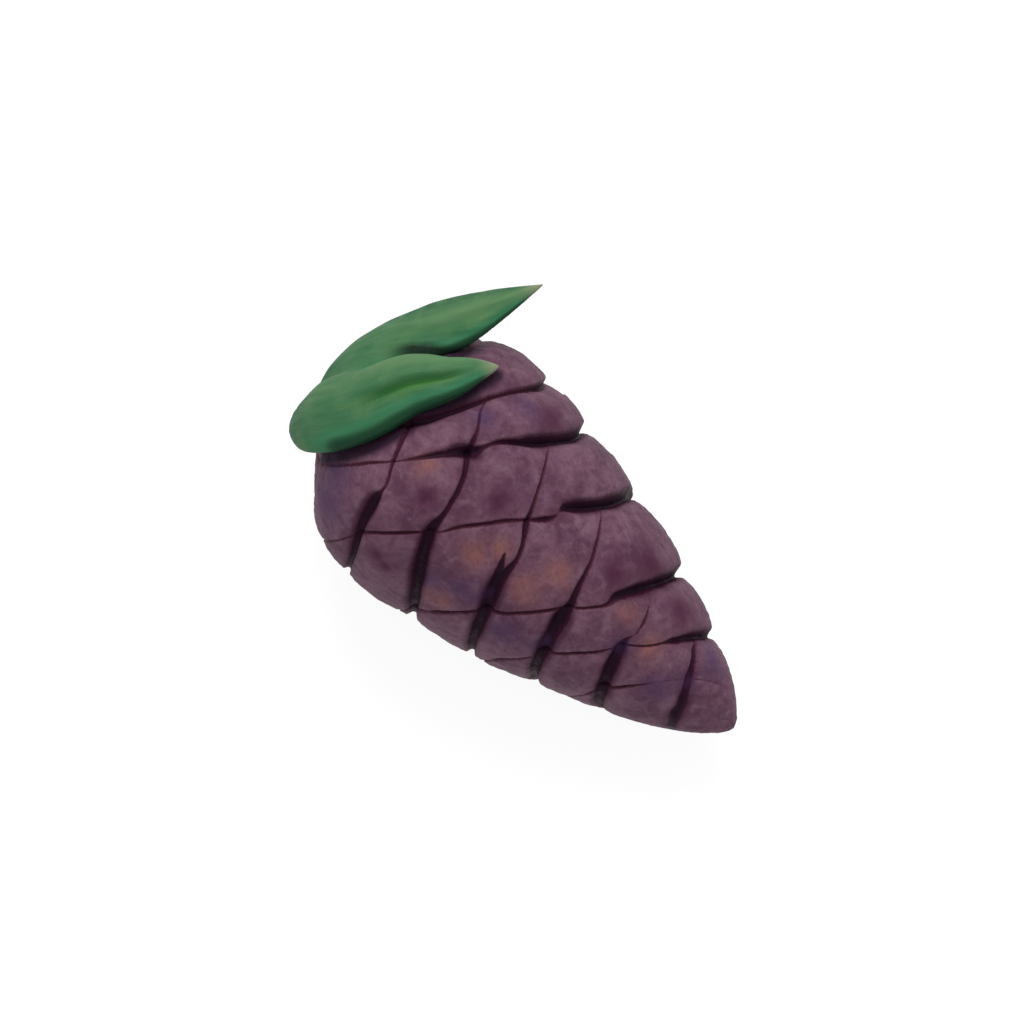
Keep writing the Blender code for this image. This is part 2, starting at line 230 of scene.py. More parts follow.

# Slits: depth for their width, steepness of their walls, the widths over which they appear,
# the shares of the relief over which they open, the soft shoulder beside them, the burr along
# their lips and the reach of the painted shade round them
SLIT_DEPTH = 0.00014
SLIT_DEPTH_PER_WIDTH = 1.35
WALL_STEEPNESS = 4
SLIT_APPEARS = (0.00003, 0.00014)
LEAST_SLIT = 0.00004
SLIT_SHARE = (0.0, 0.4)
SHOULDER_SHARE = 0.35
SHOULDER_REACH = 0.00045
BURR_HEIGHT = 0.00005
BURR_REACH = 0.00012
BURR_PLACE = 1.25
SLIT_SHADE_REACH = 0.00055

# Grain of the clay's surface: height, length of a wave and seed of the random draws
CLAY_GRAINS = (
    (0.000022, 0.0016, 3),
    (0.000010, 0.0006, 5),
)
STEEPEST = 4.0

# Leaves: points along the middle of each one, from its root to its tip
LOWER_SPINE = (
    (-0.0011, -0.0073, 0.0156),
    (0.0002, -0.0048, 0.0212),
    (0.0027, -0.0008, 0.0250),
    (0.0049, 0.0040, 0.0262),
    (0.0080, 0.0080, 0.0262),
    (0.0093, 0.0100, 0.0252),
    (0.0109, 0.0119, 0.0234),
)
LOWER_FACING = (
    (-0.90, -0.45, 0.10),
    (-0.80, -0.30, 0.50),
    (-0.66, 0.00, 0.75),
    (-0.50, 0.18, 0.85),
    (-0.38, 0.42, 0.82),
    (-0.26, 0.56, 0.78),
    (-0.20, 0.62, 0.76),
)
UPPER_SPINE = (
    (-0.0012, -0.0030, 0.0140),
    (-0.0012, 0.0012, 0.0166),
    (0.0004, 0.0056, 0.0186),
    (0.0028, 0.0096, 0.0198),
    (0.0045, 0.0128, 0.0197),
    (0.0063, 0.0168, 0.0188),
    (0.0085, 0.0217, 0.0176),
)
UPPER_FACING = (
    (-0.98, -0.10, 0.15),
    (-0.93, 0.05, 0.30),
    (-0.80, 0.20, 0.55),
    (-0.52, 0.32, 0.80),
    (-0.32, 0.24, 0.92),
    (-0.22, 0.16, 0.96),
    (-0.18, 0.12, 0.97),
)
LOWER_HALF_WIDTH = 0.0044
UPPER_HALF_WIDTH = 0.0041
LEAF_THICKNESS = 0.0024
LEAF_ROOT_BLUNTNESS = 0.50
LOWER_TIP_SHARPNESS = 0.85
UPPER_TIP_SHARPNESS = 1.05
LOWER_HOLD = 0.95
UPPER_HOLD = 0.60
LIFT_OFF = 0.25
LEAF_SINK = 0.00030
UNDERSIDE = (0.1, 0.5)
BEND_ENDS = (0.5, 0.9)

# Soft waves in a leaf's surface: height, length, seed of the random draws, how much shorter
# they are across the leaf than along it, and the widths over which they appear
LEAF_WAVE_HEIGHT = 0.000035
LEAF_WAVE_LENGTH = 0.0034
LEAF_WAVE_SEED = 11
LEAF_WAVE_STRETCH = 4.0
LEAF_WAVE_WIDTHS = (0.0, 0.002)

# The crease along a leaf and the low ridges beside it: places and widths are shares of the
# leaf's half-width or length, and the folds say how much of both each leaf has
CREASE_DEPTH = 0.00055
CREASE_WIDTH = 0.17
CREASE_OFFSET = 0.14
CREASE_STARTS = (0.36, 0.58)
CREASE_ENDS = (0.74, 0.92)
RIDGE_HEIGHT = 0.00012
RIDGE_OFFSET = 0.5
RIDGE_WIDTH = 0.25
UPPER_SIDE = (0.1, 0.7)
LOWER_FOLD = 1.0
UPPER_FOLD = 0.2

# Where a leaf's colour changes, in shares of its half-width or length: the painted shade on the
# flank, the painted highlight of the lit band, the fresh green beside the crease and the mottled
# rim
FLANK_ACROSS = (0.40, 0.98)
FLANK_STARTS = (0.15, 0.35)
LIT_BAND_AT = 0.75
LIT_BAND_WIDTH = 0.28
LIT_BAND_STARTS = (0.3, 0.6)
FRESH_AT = (0.34, 0.66)
FRESH_REACH = (0.15, 0.10)
RIM_ACROSS = (0.35, 0.85)

# Painted shade: in the gap between the leaves, on one leaf beside the edge of the other above
# it, found in steps, and on the body along the lower edges of the leaves
GAP_REACH = 0.00025
GAP_SHADE = 0.00020
GAP_SHADES = 8
GAP_FADE = 4
GAP_STARTS = (-0.0008, 0.0026)
SHADE_SHIFT = 0.00050
SHADE_REACH = 0.00095

# How much wider the leaves are on the sides that meet at their roots, and where that fades;
# then how they are joined: the grain of the surface, how far from both leaves it is smoothed,
# where the smoothing ends, seen from the top, and how often and how much it is done
LOWER_JOIN = -0.12
UPPER_JOIN = 0.55
JOIN_FADES = (0.30, 0.60)
JOIN_GRAIN = 0.00014
JOIN_REACH = 0.0011
JOIN_ENDS_AT = (-0.0252, 0.0018)
JOIN_ENDS_OVER = (-0.0004, 0.0012)
JOIN_ROUNDS = 90
SMOOTHING_STEP = 0.6
LAST_SMOOTHING = 0.5
LAST_ROUNDS = 3

# What the joined surface takes over from each leaf
LEAF_FACTS = (
    "across", "lengthwise", "towards_tip", "on_top", "crease", "flank", "ridge", "fresh", "rim",
)

# Colours of the purple-brown clay, as a screen shows them
CLAY_DEEP = (82, 51, 70)
CLAY_MIDDLE = (103, 71, 88)
MARBLE_PALE = (116, 88, 102)
MARBLE_DARK = (74, 44, 58)
BLOTCH_PALE = (122, 88, 104)
BLOTCH_DARK = (72, 38, 60)
SPECKLE_DARK = (60, 36, 52)
WARM_CLAY = (124, 80, 78)
VIOLET_CLAY = (70, 48, 78)
# Magenta of the stains, partly painted shade in the dents
MAGENTA_CLAY = (68, 28, 52)
# Painted shade beside the slits
PAINTED_SLIT_SHADE = (50, 20, 38)
# Painted shade on the clay along the leaves' lower edges
PAINTED_LEAF_SHADE = (30, 12, 32)
# Painted shade inside the slits, darkest deep down, and violet where a violet stain meets it
NARROW_SLIT_SHADE = (66, 26, 40)
WIDE_SLIT_SHADE = (46, 16, 36)
SLIT_BOTTOM_SHADE = (30, 9, 27)
VIOLET_SLIT_SHADE = (52, 26, 56)

# Colours of the green clay
LEAF_DEEP = (52, 96, 64)
LEAF_MIDDLE = (68, 106, 70)
STREAK_PALE = (84, 116, 72)
STREAK_DARK = (38, 86, 54)
LEAF_ROOT = (34, 82, 50)
# Painted shade on the leaves' lower flank, lighter and deeper
FLANK_SHADE_TEAL = (46, 104, 72)
FLANK_SHADE_DARK = (14, 44, 28)
RIM_MOTTLE = (40, 70, 54)
# Painted highlight along the lit band
LIT_BAND = (88, 120, 80)
# Painted shade in the crease
CREASE_SHADE_GREEN = (26, 74, 30)
FRESH_GREEN = (62, 108, 42)
# Painted shade in the gap between the leaves
PAINTED_GAP_SHADE = (8, 26, 16)
LEAF_POINT = (128, 132, 104)

# Finish of both clays, and the bumps that are too fine for the meshes
CLAY_GLOSS = 0.08
CONE_ROUGHNESS = (0.52, 0.68)
LEAF_ROUGHNESS = 0.55
FINE_BUMPS = 5.0
BUMP_HEIGHT = 0.00008
CONE_BUMP = 0.35
LEAF_BUMP = 0.3

# Table: half its size, how far it lies below the cone, its grey, roughness, gloss and glow
TABLE_HALF_SIZE = 4.0
TABLE_DROP = 0.00002
TABLE_GREY = (0.16, 0.16, 0.16, 1.0)
TABLE_ROUGHNESS = 0.9
TABLE_GLOSS = 0.1
TABLE_GLOW = 0.88
WHITE = (1.0, 1.0, 1.0, 1.0)

# Fineness of the meshes
BODY_AROUND = 1000
BODY_ALONG = 640
BODY_TRIANGLES = 190000
LEAF_AROUND = 200
LEAF_ALONG = 230

# Camera, straight above, with the thick end turned to the upper left of the picture
CAMERA_OVER = (-0.00418, -0.00179)
CAMERA_HEIGHT = 1.20
MIDDLE_HEIGHT = 0.014
PICTURE_WIDTH = 0.1087
SENSOR_WIDTH = 36.0
PICTURE_TURN = math.radians(42.5)

# Light
SKY_STRENGTH = 0.74
KEY_POWER = 8.0
KEY_SIZE = 0.60
KEY_PLACE = (-0.50, 0.54, 0.75)


def smooth_step(value, low, high):
    """Rise smoothly from 0 at low to 1 at high."""
    t = np.clip((value - low) / (high - low), 0.0, 1.0)
    return t * t * (3.0 - 2.0 * t)


def smooth_through(x, places, values):
    """A smooth curve through the values at the places, straight beyond both ends."""
    places = np.asarray(places, float)
    values = np.asarray(values, float)
    slopes = np.gradient(values, places)
    inside = np.clip(x, places[0], places[-1])
    k = np.clip(np.searchsorted(places, inside, side="right") - 1, 0, len(places) - 2)
    span = places[k + 1] - places[k]
    t = (inside - places[k]) / span
    start = values[k] * (1.0 + 2.0 * t) * (1.0 - t) ** 2
    end = values[k + 1] * t * t * (3.0 - 2.0 * t)
    leave = slopes[k] * span * t * (1.0 - t) ** 2
    arrive = slopes[k + 1] * span * t * t * (t - 1.0)
    beyond = np.where(x < places[0], slopes[0], slopes[-1]) * (x - inside)
    return start + end + leave + arrive + beyond


def unevenness(points, wavelength, seed, waves=24):
    """Soft random bumps about 1 high, from waves that run in random directions."""
    random = np.random.default_rng(seed)
    total = np.zeros(len(points))
    for _ in range(waves):
        direction = random.normal(size=3)
        direction = direction / np.linalg.norm(direction)
        pitch = math.tau / (wavelength * random.uniform(0.6, 1.7))
        total = total + np.sin(points @ direction * pitch + random.uniform(0.0, math.tau))
    return total / math.sqrt(waves / 2.0)


def body_radius(u):
    """Radius of the uncut body: an elliptical end, then a long taper."""
    cap = 1.0 - np.clip((WIDEST_AT - u) / WIDEST_AT, 0.0, 1.0) ** 2
    along = np.clip((u - WIDEST_AT) / (BODY_LENGTH - WIDEST_AT), 0.0, 1.0)
    taper = (1.0 - along ** TAPER_START) ** TAPER_END
    return WIDEST_RADIUS * np.where(u < WIDEST_AT, np.sqrt(cap), taper)


def cut_phase(u, angle, family):
    """Count the cuts passed on the way to the tip: it is a whole number on each cut."""
    places, turns, own_side, pinch, swing = family
    count = smooth_through(u, places, np.arange(len(places)))
    sway = smooth_through(u, SWING_PLACES, swing)
    wound = (angle + pinch * np.sin(2.0 * angle)) / math.tau
    side = np.sin(angle)
    return count + turns * wound + sway * side * (1.0 + own_side * side) / 2.0


def eased_rows(degrees, places, values):
    """Straight lines through the values at the places, with their corners rounded off."""
    shifts = np.linspace(-CORNER_ROUNDING, CORNER_ROUNDING, ROUNDING_SAMPLES)
    return np.mean([np.interp(degrees + shift, places, values) for shift in shifts], axis=0)


def hand_drawn(angle, phase, hand):
    """Half-width of the slit and how far it strays, for the cut nearest to each point."""
    degrees = np.degrees(angle)
    nearest = np.round(phase).astype(int)
    width = np.zeros(len(angle))
    stray = np.zeros(len(angle))
    for number, rows in enumerate(hand):
        places, widths, strays = np.array(rows, float).T
        mine = nearest == number
        waver = 1.0 + KNIFE_WAVER * np.sin(WAVER_COUNT * angle[mine] + WAVER_SHIFT * number)
        width[mine] = eased_rows(degrees[mine], places, widths) * waver
        stray[mine] = eased_rows(degrees[mine], places, strays)
    back = smooth_step(-np.cos(angle), *BACK_WIDTH_FROM)
    width = width * (1.0 - back) + BACK_HALF_WIDTH * back
    return width * 0.001, stray * (1.0 - back)


def cut_pattern(u, angle, family, hand):
    """How far past the nearest cut, its half-width and the place across the band, 0 to 1."""
    small = 1e-5
    phase = cut_phase(u, angle, family)
    along = (cut_phase(u + small, angle, family) - phase) / small
    around = (cut_phase(u, angle + small, family) - phase) / small
    steepness = np.hypot(along, around / np.maximum(body_radius(u), 0.001))
    width, stray = hand_drawn(angle, phase, hand)
    phase = phase - stray
    nearest = phase - np.round(phase)
    return nearest / steepness, width, phase - np.floor(phase)


def step_down(u, angle, pattern):
    """How far a band of the right family lies below the one before it, most just past the cut."""
    past, _, across = pattern
    over = smooth_step(past, -STEP_RUN, STEP_RUN)
    rising = (1.0 - across) ** STEP_RECOVERY
    step = np.where(past >= 0.0, over * rising, over + (1.0 - over) * rising)
    side = smooth_step(np.sin(angle), *STEP_SIDE)
    behind = STEP_BEHIND * smooth_step(-np.cos(angle), *STEP_FAR_SIDE)
    step = step * smooth_step(u, STEP_FROM, STEP_FULL)
    return BAND_STEP * step * np.maximum(side, behind)


def pressed_in(u, angle):
    """How far the pressed places sink, less how far the swollen ones rise."""
    total = 0.0
    for place, turn, reach, depth in PRESSED_PLACES:
        around = (angle - math.radians(turn)) * body_radius(u)
        distance = np.hypot(u - place, around)
        total = total + depth * np.exp(-(distance / reach) ** 2)
    return total


def cut_strengths(angle):
    """How deep each family cuts, 0 to 1, and how much of the left family is there at all."""
    side = np.sin(angle)
    behind = -np.cos(angle)
    back = BACK_STRENGTH * smooth_step(behind, *BACK_FROM)
    edge = 1.0 - EDGE_SOFTENING * smooth_step(np.abs(side), *EDGE_FROM)
    left = np.maximum(smooth_step(-side, *LEFT_DEEPENS) * edge, back)
    right = np.maximum(smooth_step(side, *RIGHT_DEEPENS) * edge, back)
    left_on_top = smooth_step(-side, *LEFT_APPEARS)
    left_there = np.maximum(left_on_top, smooth_step(behind, *LEFT_BACK_FROM))
    return left, right, left_there


def relief_share(u, angle):
    """Share of the relief that is left near the belly, the ends and where the body is thin."""
    from_belly = math.pi - np.abs(angle)
    share = smooth_step(from_belly, BELLY_CLEAR, BELLY_CLEAR + BELLY_FADE)
    share = share * smooth_step(u, END_CLEAR, END_CLEAR + END_FADE)
    share = share * smooth_step(BODY_LENGTH - u, TIP_CLEAR, TIP_CLEAR + TIP_FADE)
    return share * np.clip(body_radius(u) / RADIUS_FOR_FULL_DEPTH, LEAST_DEPTH, 1.0)


def slit_form(distance, width):
    """How deep a slit is at a distance from its middle, with its shoulders and burr."""
    there = smooth_step(width, *SLIT_APPEARS)
    depth = (SLIT_DEPTH + SLIT_DEPTH_PER_WIDTH * width) * there
    safe = np.maximum(width, LEAST_SLIT)
    slit = np.exp(-(distance / safe) ** WALL_STEEPNESS)
    shoulder = np.exp(-(distance / (safe + SHOULDER_REACH)) ** 2)
    burr = np.exp(-((distance - safe * BURR_PLACE - BURR_REACH) / BURR_REACH) ** 2)
    cut = depth * (slit * (1.0 - SHOULDER_SHARE) + shoulder * SHOULDER_SHARE)
    return cut - BURR_HEIGHT * burr * there


def pillow_form(strength, pillow, across):
    """How far a band falls away towards the cuts on both its sides."""
    arch = (4.0 * across * (1.0 - across)) ** PILLOW_ROUNDNESS
    return pillow * (FLAT_PILLOW + (1.0 - FLAT_PILLOW) * strength) * (1.0 - arch)


def short_cut(u, angle, ends):
    """Distance to a short straight cut and its half-width there."""
    first, last = np.array(ends, float) * 0.001
    turn = np.radians(np.array([ends[0][1], ends[1][1]], float))
    radius = body_radius(u)
    start = np.stack([u - first[0], (angle - turn[0]) * radius], axis=-1)
    run = np.stack([np.full(len(u), last[0] - first[0]), (turn[1] - turn[0]) * radius], axis=-1)
    share = np.clip(np.sum(start * run, axis=1) / np.sum(run * run, axis=1), 0.0, 1.0)
    distance = np.linalg.norm(start - run * share[:, None], axis=1)
    return distance, first[2] + (last[2] - first[2]) * share


def soft_dents(u, angle):
    """Depth of the soft dents."""
    total = np.zeros(len(u))
    radius = body_radius(u)
    for place, turn, length, width, slant, depth in SOFT_DENTS:
        ahead = u - place * 0.001
        aside = (angle - math.radians(turn)) * radius
        lean = math.radians(slant)
        lengthwise = (ahead * math.cos(lean) + aside * math.sin(lean)) / (length * 0.001)
        crosswise = (aside * math.cos(lean) - ahead * math.sin(lean)) / (width * 0.001)
        total = total + depth * 0.001 * np.exp(-lengthwise ** 2 - crosswise ** 2)
    return total


def stain_share(u, angle, stains):
    """How strongly the stains of one kind show, 0 to 1."""
    total = np.zeros(len(u))
    radius = body_radius(u)
    for place, turn, reach in stains:
        distance = np.hypot(u - place * 0.001, (angle - math.radians(turn)) * radius)
        total = np.maximum(total, np.exp(-(distance / (reach * 0.001)) ** 2))
    return total


def fading(width, distance):
    """The width of a slit, fading away beside it, which sets the painted shade there."""
    return width * np.exp(-(np.maximum(distance - width, 0.0) / SLIT_SHADE_REACH) ** 2)


def carve(u, angle):
    """How far the clay lies below the uncut body, how deep in a slit it is, and its painted shade
    beside the slits.
    """
    left_strength, right_strength, left_there = cut_strengths(angle)
    left = cut_pattern(u, angle, LEFT_FAMILY, LEFT_HAND)
    right = cut_pattern(u, angle, RIGHT_FAMILY, RIGHT_HAND)
    share = relief_share(u, angle)
    left_width = left[1] * np.sqrt(left_there) * smooth_step(share, *SLIT_SHARE)
    right_width = right[1] * smooth_step(share, *SLIT_SHARE)
    left_distance = np.abs(left[0])
    right_distance = np.abs(right[0])
    relief = slit_form(left_distance, left_width) + slit_form(right_distance, right_width)
    relief = relief + pillow_form(left_strength, LEFT_PILLOW, left[2]) * left_there
    relief = relief + pillow_form(right_strength, RIGHT_PILLOW, right[2])
    relief = relief + step_down(u, angle, right)
    slit = np.maximum(left_width - left_distance, right_width - right_distance)
    # Strength of the painted shade beside the slits
    slit_shade = np.maximum(fading(left_width, left_distance), fading(right_width, right_distance))
    size = np.maximum(left_width * (left_width > left_distance),
                      right_width * (right_width > right_distance))
    for ends in SHORT_CUTS:
        distance, width = short_cut(u, angle, ends)
        relief = np.maximum(relief, slit_form(distance, width))
        slit = np.maximum(slit, width - distance)
        size = np.maximum(size, width * (width > distance))
        slit_shade = np.maximum(slit_shade, fading(width, distance))
    dents = np.sin(190.0 * u + 2.0 * angle) * np.sin(3.0 * angle - 120.0 * u + 0.8)
    hand = HAND_UNEVENNESS * (1.0 + dents) * smooth_step(u, 0.0, END_FADE)
    sunk = relief * share + hand + soft_dents(u, angle) + pressed_in(u, angle)
    return sunk, slit, size, slit_shade


def axis_height():
    """Height of the body's axis at the thick end, with the belly pressed flat on the table."""
    belly = float(body_radius(np.array(BELLY_AT))) * FLATTENING
    return BELLY_AT * math.sin(NOSE_DOWN) + belly * math.cos(NOSE_DOWN) - PRESSED_FLAT


def lay_down(along, side, above):
    """Turn places on the body's axis into places on the table, seen from the thick end."""
    x = along * math.cos(NOSE_DOWN) + above * math.sin(NOSE_DOWN)
    z = axis_height() - along * math.sin(NOSE_DOWN) + above * math.cos(NOSE_DOWN)
    return np.stack([x, side, z], axis=-1)


def body_surface(share, angle):
    """Places on the clay surface, with what the material needs to know at each one."""
    u = share * BODY_LENGTH
    small = 1e-5
    radius = body_radius(u)
    slope = (body_radius(u + small) - body_radius(u - small)) / (2.0 * small)
    slope = np.clip(slope, -STEEPEST, STEEPEST)
    lean = np.hypot(1.0, slope)
    sunk, slit, size, slit_shade = carve(u, angle)
    rough = np.stack([u, radius * np.cos(angle), radius * np.sin(angle)], axis=-1)
    for height, wavelength, seed in CLAY_GRAINS:
        sunk = sunk + height * unevenness(rough, wavelength, seed)
    along = u + sunk * slope / lean
    reach = radius - sunk / lean
    drift = TIP_DRIFT * smooth_step(u, WIDEST_AT, BODY_LENGTH)
    side = reach * np.sin(angle) + drift
    above = reach * np.cos(angle) * FLATTENING
    stains = [stain_share(u, angle, kind) for kind in (WARM_STAINS, VIOLET_STAINS, MAGENTA_STAINS_AND_DENT_SHADE)]
    facts = {"slit": slit * 1000.0, "slit_size": size * 1000.0, "slit_shade": slit_shade * 1000.0}
    facts["warm"], facts["violet"], facts["magenta"] = stains
    return lay_down(along, side, above), facts


def store(mesh, name, values):
    """Store a number at each point of a mesh."""
    attribute = mesh.attributes.new(name, "FLOAT", "POINT")
    attribute.data.foreach_set("value", np.asarray(values, np.float32))


def shaped_sphere(name, around, along, shape, node):
    """Rings between two poles, moved onto a closed surface and kept in the node's box."""
    low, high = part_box(node)
    rings = along - 1
    slope = np.pi * np.arange(1, along) / along
    share = np.concatenate([[0.0], np.repeat((1.0 - np.cos(slope)) / 2.0, around), [1.0]])
    turns = math.tau * np.arange(around) / around - math.pi
    turn = np.concatenate([[0.0], np.tile(turns, rings), [0.0]])
    moved, facts = shape(share, turn)
    moved = moved - np.array([MIDDLE_X, MIDDLE_Y, 0.0])
    moved = np.clip(moved, np.array(low), np.array(high))
    ring_start = 1 + np.arange(rings - 1)[:, None] * around
    first = ring_start + np.arange(around)[None, :]
    next_one = ring_start + (np.arange(around)[None, :] + 1) % around
    bands = np.stack([first, first + around, next_one + around, next_one], axis=-1).reshape(-1, 4)
    last = len(moved) - 1
    root = [(0, 1 + i, 1 + (i + 1) % around) for i in range(around)]
    end = last - around
    tip = [(last, end + (i + 1) % around, end + i) for i in range(around)]
    mesh = bpy.data.meshes.new(name)
    mesh.from_pydata(moved.tolist(), [], root + bands.tolist() + tip)
    work = bmesh.new()
    work.from_mesh(mesh)
    if work.calc_volume(signed=True) < 0.0:
        bmesh.ops.reverse_faces(work, faces=work.faces)
    work.to_mesh(mesh)
    work.free()
    for name_of_fact, values in facts.items():
        store(mesh, name_of_fact, values)
    mesh.shade_smooth()
    piece = bpy.data.objects.new(name, mesh)
    bpy.context.scene.collection.objects.link(piece)
    return piece


def with_fewer_faces(piece, triangles):
    """Merge faces where the surface is plain, down to a number of triangles."""
    fewer = piece.modifiers.new("fewer_faces", "DECIMATE")
    fewer.ratio = triangles / (2.0 * len(piece.data.polygons))
    bpy.context.view_layer.update()
    ready = piece.evaluated_get(bpy.context.evaluated_depsgraph_get())
    mesh = bpy.data.meshes.new_from_object(ready)
    piece.modifiers.clear()
    piece.data = mesh
    mesh.shade_smooth()


def fit_to_body(points, pressed):
    """Keep points outside the clay body, and press the pressed ones a little into it."""
    level = points[:, 2] - axis_height()
    along = points[:, 0] * math.cos(NOSE_DOWN) - level * math.sin(NOSE_DOWN)
    above = points[:, 0] * math.sin(NOSE_DOWN) + level * math.cos(NOSE_DOWN)
    side = points[:, 1]
    ahead = np.minimum(along - WIDEST_AT, 0.0) / WIDEST_AT
    radius = body_radius(np.maximum(along, WIDEST_AT))
    reach = np.hypot(side, above / FLATTENING) / radius
    inside = np.hypot(ahead, reach)
    wanted = 1.0 - LEAF_SINK / (WIDEST_RADIUS * FLATTENING)
    onto = wanted / np.maximum(inside, 1e-6)
    grow = np.maximum(onto, 1.0) * (1.0 - pressed) + onto * pressed
    along = np.where(ahead < 0.0, WIDEST_AT + (along - WIDEST_AT) * grow, along)
    return lay_down(along, side * grow, above * grow)


def leaf_frame(spine, facing, share):
    """Place, side and facing directions at each share of a leaf's length, and the length."""
    spine = np.array(spine)
    steps = np.linalg.norm(np.diff(spine, axis=0), axis=1)
    places = np.concatenate([[0.0], np.cumsum(steps)]) / steps.sum()
    small = 1e-3

    def along(values, where):
        values = np.array(values)
        return np.stack([smooth_through(where, places, values[:, i]) for i in range(3)], axis=-1)

    middle = along(spine, share)
    ahead = along(spine, share + small) - along(spine, share - small)
    ahead = ahead / np.linalg.norm(ahead, axis=1, keepdims=True)
    up = along(facing, share)
    up = up - ahead * np.sum(up * ahead, axis=1, keepdims=True)
    up = up / np.linalg.norm(up, axis=1, keepdims=True)
    return middle, np.cross(ahead, up), up, steps.sum()


def leaf_surface(spine, facing, half_width, sharpness, hold, join, fold, share, turn):
    """A thick clay leaf: blunt root, pointed tip, a crease along it, pressed on up to hold."""
    middle, side, up, length = leaf_frame(spine, facing, share)
    outline = share ** LEAF_ROOT_BLUNTNESS * (1.0 - share) ** sharpness
    peak = LEAF_ROOT_BLUNTNESS / (LEAF_ROOT_BLUNTNESS + sharpness)
    widest = peak ** LEAF_ROOT_BLUNTNESS * (1.0 - peak) ** sharpness
    width = half_width * outline / widest
    across = np.cos(turn)
    meeting = smooth_step(across * np.sign(join), 0.0, 1.0)
    meeting = meeting * (1.0 - smooth_step(share, *JOIN_FADES))
    width = width * (1.0 + abs(join) * meeting)
    thick = 0.5 * LEAF_THICKNESS * np.sqrt(np.clip(outline / widest, 0.0, 1.0))
    height = thick * np.sin(turn)
    crease_there = smooth_step(share, *CREASE_STARTS) * (1.0 - smooth_step(share, *CREASE_ENDS))
    crease = fold * np.exp(-((across - CREASE_OFFSET) / CREASE_WIDTH) ** 2) * crease_there
    ridge = fold * np.exp(-((np.abs(across) - RIDGE_OFFSET) / RIDGE_WIDTH) ** 2) * crease_there
    on_top = smooth_step(np.sin(turn), *UPPER_SIDE)
    height = height - (CREASE_DEPTH * crease - RIDGE_HEIGHT * ridge) * on_top
    straight = smooth_step(share, *BEND_ENDS)
    bend = (across * width) ** 2 / (2.0 * WIDEST_RADIUS) * (1.0 - straight)
    sideways = across * width * LEAF_WAVE_STRETCH
    upwards = np.sin(turn) * thick * LEAF_WAVE_STRETCH
    grain = np.stack([sideways, upwards, share * length], axis=-1)
    waves = unevenness(grain, LEAF_WAVE_LENGTH, LEAF_WAVE_SEED)
    height = height + LEAF_WAVE_HEIGHT * waves * smooth_step(width, *LEAF_WAVE_WIDTHS)
    points = middle + side * (across * width)[:, None] + up * (height - bend)[:, None]
    lifted = smooth_step(share, hold - LIFT_OFF, hold)
    pressed = smooth_step(-np.sin(turn), *UNDERSIDE) * (1.0 - lifted)
    lit = (across + LIT_BAND_AT * fold) / LIT_BAND_WIDTH
    fresh_across = (across - FRESH_AT[0]) / FRESH_REACH[0]
    fresh_along = (share - FRESH_AT[1]) / FRESH_REACH[1]
    facts = {
        "across": across * width * 1000.0,
        "lengthwise": share * length * 1000.0,
        "towards_tip": share,
        "on_top": np.sin(turn),
        # crease: also where the painted shade of the crease goes
        "crease": crease * on_top,
        # flank: where the painted shade of the lower flank goes
        "flank": smooth_step(across, *FLANK_ACROSS) * smooth_step(share, *FLANK_STARTS),
        # ridge: where the painted highlight of the lit band goes
        "ridge": np.exp(-lit ** 2) * smooth_step(share, *LIT_BAND_STARTS),
        "fresh": fold * np.exp(-fresh_across ** 2 - fresh_along ** 2) * on_top,
        "rim": smooth_step(-across, *RIM_ACROSS) * (1.0 - fold),
    }
    return fit_to_body(points, pressed), facts


def surface_tree(piece):
    """A search tree of a piece's surface."""
    mesh = piece.data
    places = [vertex.co for vertex in mesh.vertices]
    return BVHTree.FromPolygons(places, [face.vertices for face in mesh.polygons])


def values_of(mesh, name):
    """The numbers stored at each point of a mesh."""
    values = np.zeros(len(mesh.vertices), np.float32)
    mesh.attributes[name].data.foreach_get("value", values)
    return values


def soften_where(mesh, share, rounds):
    """Move each point towards the middle of its neighbours, by its share, a number of times."""
    places = np.zeros(len(mesh.vertices) * 3)
    mesh.vertices.foreach_get("co", places)
    places = places.reshape(-1, 3)
    ends = np.zeros(len(mesh.edges) * 2, int)
    mesh.edges.foreach_get("vertices", ends)
    first, second = ends.reshape(-1, 2).T
    count = np.bincount(ends, minlength=len(places))[:, None]
    for _ in range(rounds):
        total = np.zeros_like(places)
        for axis in range(3):
            total[:, axis] += np.bincount(first, places[second, axis], len(places))
            total[:, axis] += np.bincount(second, places[first, axis], len(places))
        places = places + (total / count - places) * SMOOTHING_STEP * share[:, None]
    mesh.vertices.foreach_set("co", places.ravel())
    mesh.update()


def hidden_beside(cover, place):
    """How near a place lies to another piece's edge above it, seen from the top, 0 to 1."""
    aside = Vector((math.sin(PICTURE_TURN), -math.cos(PICTURE_TURN), 0.0)) * GAP_SHADE
    hits = 0
    for step in range(GAP_SHADES):
        if cover.ray_cast(place + aside * step, Vector((0.0, 0.0, 1.0)))[0] is not None:
            hits += 1
    return min(1.0, hits / GAP_FADE)


def one_surface(name, pieces):
    """A new piece with one closed surface round several pieces."""
    work = bmesh.new()
    for piece in pieces:
        work.from_mesh(piece.data)
    mesh = bpy.data.meshes.new(name)
    work.to_mesh(mesh)
    work.free()
    whole = bpy.data.objects.new(name, mesh)
    bpy.context.scene.collection.objects.link(whole)
    remesh = whole.modifiers.new("one_surface", "REMESH")
    remesh.mode = "VOXEL"
    remesh.voxel_size = JOIN_GRAIN
    bpy.context.view_layer.update()
    ready = whole.evaluated_get(bpy.context.evaluated_depsgraph_get())
    joined = bpy.data.meshes.new_from_object(ready)
    whole.modifiers.clear()
    whole.data = joined
    return whole


